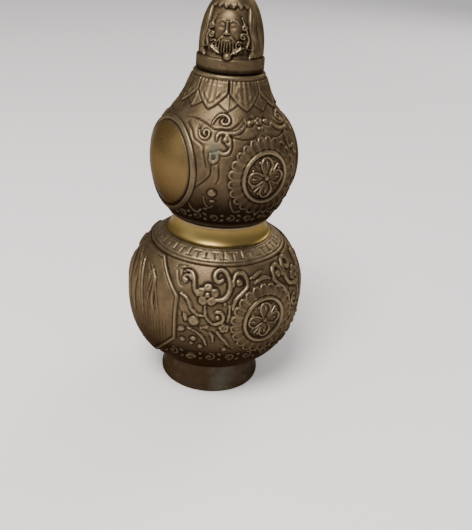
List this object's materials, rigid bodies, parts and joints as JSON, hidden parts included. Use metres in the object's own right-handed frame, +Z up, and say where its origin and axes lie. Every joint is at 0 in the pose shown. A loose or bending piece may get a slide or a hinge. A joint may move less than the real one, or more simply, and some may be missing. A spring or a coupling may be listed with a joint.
{
  "type": "prayer wheel",
  "caption": "Brass table prayer wheel shaped as a double gourd: a drum that turns on a hollow stand, under a screw-on cap cast as a hooded head.",
  "frame": {"origin": "centre of the foot ring's lower face, on the axis that the drum and the cap turn about", "axes": "+Z up along the spindle, -Y towards the front, where the cap's face looks (10 degrees towards -X), +X to the front's right"},
  "size_m": [0.0502, 0.049, 0.1075],
  "materials": {
    "aged_brass": "cast, dark brown patina with rubbed high spots",
    "polished_brass": "polished, lightly worn",
    "worn_brass": "turned, worn, some green oxide",
    "steel": "plain steel",
    "bronze": "turned bronze",
    "leather": "dark leather",
    "paper": "aged paper, tightly rolled",
    "thread": "red cotton cord"
  },
  "bodies": {
    "stand": {"foot_ring": "worn_brass", "base_plate": "worn_brass", "base_screw_1": "steel", "base_screw_2": "steel", "base_screw_3": "steel", "lower_bulb": "aged_brass", "lower_plaque_front": "aged_brass", "lower_plaque_rear": "aged_brass", "lower_rosette_front": "aged_brass", "lower_rosette_rear": "aged_brass", "waist_collar": "polished_brass", "spindle": "steel", "spindle_washer": "steel", "spindle_nut": "steel", "thrust_washer": "bronze", "drum_washer": "steel", "drum_nut": "steel"},
    "drum": {"upper_bulb": "aged_brass", "upper_disc_front": "aged_brass", "upper_disc_rear": "aged_brass", "upper_rosette_front": "aged_brass", "upper_rosette_rear": "aged_brass", "drum_floor": "worn_brass", "lower_bush": "bronze", "upper_bush": "bronze", "scroll_core": "worn_brass", "prayer_scroll": "paper", "scroll_tie_lower": "thread", "scroll_tie_upper": "thread"},
    "washer": {"cap_washer": "leather"},
    "cap": {"head_cap": "aged_brass", "cap_insert": "bronze"}
  },
  "joints": [
    {"name": "drum_spin", "type": "hinge", "parent": "stand", "child": "drum", "pos_m": [0, 0, 0.0658], "axis": [0, 0, 1], "continuous": true},
    {"name": "cap_rise", "type": "slide", "parent": "stand", "child": "washer", "axis": [0, 0, 1], "range_m": [0, 0.005]},
    {"name": "cap_turn", "type": "hinge", "parent": "washer", "child": "cap", "pos_m": [0, 0, 0.0905], "axis": [0, 0, 1], "range_deg": [0, 1800]}
  ],
  "couplings": [
    {"joint": "cap_rise", "follows": "cap_turn", "m_per_rad": 0.00015915}
  ]
}
